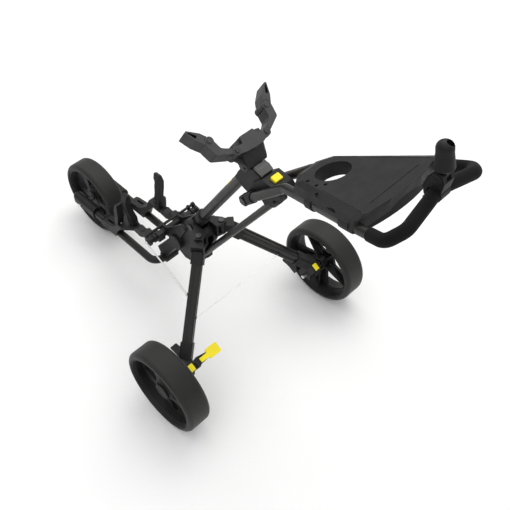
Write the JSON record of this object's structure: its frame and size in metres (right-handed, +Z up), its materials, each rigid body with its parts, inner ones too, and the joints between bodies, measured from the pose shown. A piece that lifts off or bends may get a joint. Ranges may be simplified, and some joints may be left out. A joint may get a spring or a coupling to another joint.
{
  "type": "golf push trolley",
  "caption": "Folding three-wheel push trolley that carries a golf bag, with a foam grip, tray console, bag cradles, parking brake and swivelling umbrella holder",
  "frame": {"origin": "On the ground, under the middle of the trolley's plan box.", "axes": "+X to the trolley's left, -Y forwards, +Z up."},
  "size_m": [0.747, 1.4667, 1.1646],
  "materials": {
    "black_cast": "moulded black nylon with a fine grain",
    "black_tube": "satin black powder coat",
    "black_shell": "moulded black plastic, fine texture",
    "tyre": "smooth matte black",
    "foam": "closed-cell black foam",
    "yellow": "bright yellow plastic",
    "steel": "zinc plated",
    "cable": "black cable sheath"
  },
  "bodies": {
    "frame": {"hub_casting": "black_cast", "front_beam": "black_cast", "fork_tube": "black_tube", "fork_sleeves": "black_cast", "front_axle": "steel", "crossbar": "black_cast", "cradle_brackets": "black_cast", "cradle_bars": "black_cast", "prong_bolts": "steel", "hub_pins": "steel"},
    "front_wheel": {"front_tyre": "tyre", "front_rim": "black_shell"},
    "spine": {"spine_collar": "black_cast", "spine_tube": "black_tube", "head_casting": "black_cast", "head_pins": "steel", "catch_block": "black_cast"},
    "catch_button": {"catch_button": "yellow"},
    "latch_lever": {"latch_lever": "black_cast"},
    "strut": {"strut_tube": "black_tube", "strut_ends": "black_cast"},
    "handle": {"handle_tube": "black_tube", "handle_lugs": "black_cast", "grip_foam": "foam", "console_tray": "black_shell", "console_clips": "black_shell", "umbrella_clamp": "black_shell"},
    "umbrella_holder": {"umbrella_socket": "black_shell"},
    "bag_bracket": {"bracket_yoke": "black_cast", "bracket_bolts": "steel"},
    "upper_arm_left": {"upper_arm_left": "black_cast"},
    "upper_arm_right": {"upper_arm_right": "black_cast"},
    "upper_finger_left": {"upper_finger_left": "black_cast"},
    "upper_finger_right": {"upper_finger_right": "black_cast"},
    "cradle_prong_left": {"cradle_prong_left": "black_cast"},
    "cradle_prong_right": {"cradle_prong_right": "black_cast"},
    "left_leg": {"leg_profile_left": "black_tube", "leg_knuckle_left": "black_cast", "axle_housing_left": "black_cast", "rear_axle_left": "steel", "tie_rod_left": "steel", "brake_cable": "cable"},
    "right_leg": {"leg_profile_right": "black_tube", "leg_knuckle_right": "black_cast", "axle_housing_right": "black_cast", "rear_axle_right": "steel", "tie_rod_right": "steel"},
    "left_wheel": {"rear_tyre_left": "tyre", "rear_rim_left": "black_shell", "rear_hub_cap_left": "black_shell"},
    "right_wheel": {"rear_tyre_right": "tyre", "rear_rim_right": "black_shell", "rear_hub_cap_right": "black_shell"},
    "release_tab_left": {"release_tab_left": "yellow"},
    "release_tab_right": {"release_tab_right": "yellow"},
    "brake_pin_left": {"brake_pin_left": "steel"},
    "brake_pin_right": {"brake_pin_right": "steel"},
    "brake_pedal": {"pedal_arm": "black_cast", "pedal_pad": "yellow"}
  },
  "joints": [
    {"name": "front_wheel_spin", "type": "hinge", "parent": "frame", "child": "front_wheel", "pos_m": [0, -0.597, 0.136], "axis": [1, 0, 0], "continuous": true},
    {"name": "spine_fold", "type": "hinge", "parent": "frame", "child": "spine", "pos_m": [0, -0.031, 0.414], "axis": [1, 0, 0], "range_deg": [0, 115]},
    {"name": "strut_fold", "type": "hinge", "parent": "frame", "child": "strut", "pos_m": [0, -0.026, 0.269], "axis": [-1, 0, 0], "range_deg": [0, 45]},
    {"name": "handle_fold", "type": "hinge", "parent": "spine", "child": "handle", "pos_m": [0, 0.231, 0.724], "axis": [-1, 0, 0], "range_deg": [0, 120]},
    {"name": "bracket_fold", "type": "hinge", "parent": "spine", "child": "bag_bracket", "pos_m": [0, 0.20972, 0.80968], "axis": [1, 0, 0], "range_deg": [0, 50]},
    {"name": "upper_arm_left_swing", "type": "hinge", "parent": "bag_bracket", "child": "upper_arm_left", "pos_m": [0.0474, 0.20046, 0.85253], "axis": [0, -0.5417, -0.8406], "range_deg": [-12, 25]},
    {"name": "upper_arm_right_swing", "type": "hinge", "parent": "bag_bracket", "child": "upper_arm_right", "pos_m": [-0.0474, 0.20046, 0.85253], "axis": [0, 0.5417, 0.8406], "range_deg": [-12, 25]},
    {"name": "upper_finger_left_swing", "type": "hinge", "parent": "upper_arm_left", "child": "upper_finger_left", "pos_m": [0.0918, 0.15507, 0.88179], "axis": [0, -0.5417, -0.8406], "range_deg": [0, 25]},
    {"name": "upper_finger_right_swing", "type": "hinge", "parent": "upper_arm_right", "child": "upper_finger_right", "pos_m": [-0.0918, 0.15507, 0.88179], "axis": [0, 0.5417, 0.8406], "range_deg": [0, 25]},
    {"name": "cradle_prong_left_swivel", "type": "hinge", "parent": "frame", "child": "cradle_prong_left", "pos_m": [0.054, -0.297, 0.252], "axis": [0, 0, 1], "range_deg": [-15, 15]},
    {"name": "cradle_prong_right_swivel", "type": "hinge", "parent": "frame", "child": "cradle_prong_right", "pos_m": [-0.054, -0.297, 0.252], "axis": [0, 0, -1], "range_deg": [-15, 15]},
    {"name": "left_leg_fold", "type": "hinge", "parent": "frame", "child": "left_leg", "pos_m": [0.044, 0.026, 0.408], "axis": [0, 0, 1], "range_deg": [0, 40], "deforming": ["tie_rod_left", "brake_cable"]},
    {"name": "right_leg_fold", "type": "hinge", "parent": "frame", "child": "right_leg", "pos_m": [-0.044, 0.026, 0.408], "axis": [0, 0, -1], "range_deg": [0, 40], "deforming": ["tie_rod_right"]},
    {"name": "left_wheel_spin", "type": "hinge", "parent": "left_leg", "child": "left_wheel", "pos_m": [0.334, 0.186, 0.14], "axis": [1, 0, 0], "continuous": true},
    {"name": "right_wheel_spin", "type": "hinge", "parent": "right_leg", "child": "right_wheel", "pos_m": [-0.334, 0.186, 0.14], "axis": [1, 0, 0], "continuous": true},
    {"name": "release_tab_left_press", "type": "slide", "parent": "left_leg", "child": "release_tab_left", "axis": [0, -0.515, -0.8572], "range_m": [0, 0.0025], "stiffness_N_per_m": 600, "springref_m": -0.002},
    {"name": "release_tab_right_press", "type": "slide", "parent": "right_leg", "child": "release_tab_right", "axis": [0, -0.515, -0.8572], "range_m": [0, 0.0025], "stiffness_N_per_m": 600, "springref_m": -0.002},
    {"name": "brake_pin_left_slide", "type": "slide", "parent": "left_leg", "child": "brake_pin_left", "axis": [1, 0, 0], "range_m": [0, 0.007]},
    {"name": "brake_pin_right_slide", "type": "slide", "parent": "right_leg", "child": "brake_pin_right", "axis": [-1, 0, 0], "range_m": [0, 0.007]},
    {"name": "brake_pedal_press", "type": "hinge", "parent": "left_leg", "child": "brake_pedal", "pos_m": [0.242, 0.186, 0.14], "axis": [-1, 0, 0], "range_deg": [0, 20]},
    {"name": "catch_button_press", "type": "slide", "parent": "spine", "child": "catch_button", "axis": [0, -0.2419, -0.9703], "range_m": [0, 0.004], "stiffness_N_per_m": 600, "springref_m": -0.002},
    {"name": "latch_lever_lift", "type": "hinge", "parent": "spine", "child": "latch_lever", "pos_m": [0, 0.23526, 0.80869], "axis": [1, 0, 0], "range_deg": [0, 25]},
    {"name": "umbrella_holder_tilt", "type": "hinge", "parent": "handle", "child": "umbrella_holder", "pos_m": [0, 0.708, 1.088], "axis": [1, 0, 0], "range_deg": [0, 45]}
  ],
  "couplings": [
    {"joint": "right_leg_fold", "follows": "left_leg_fold", "ratio": 1},
    {"joint": "brake_pin_left_slide", "follows": "brake_pedal_press", "m_per_rad": 0.02},
    {"joint": "brake_pin_right_slide", "follows": "brake_pedal_press", "m_per_rad": 0.02}
  ]
}
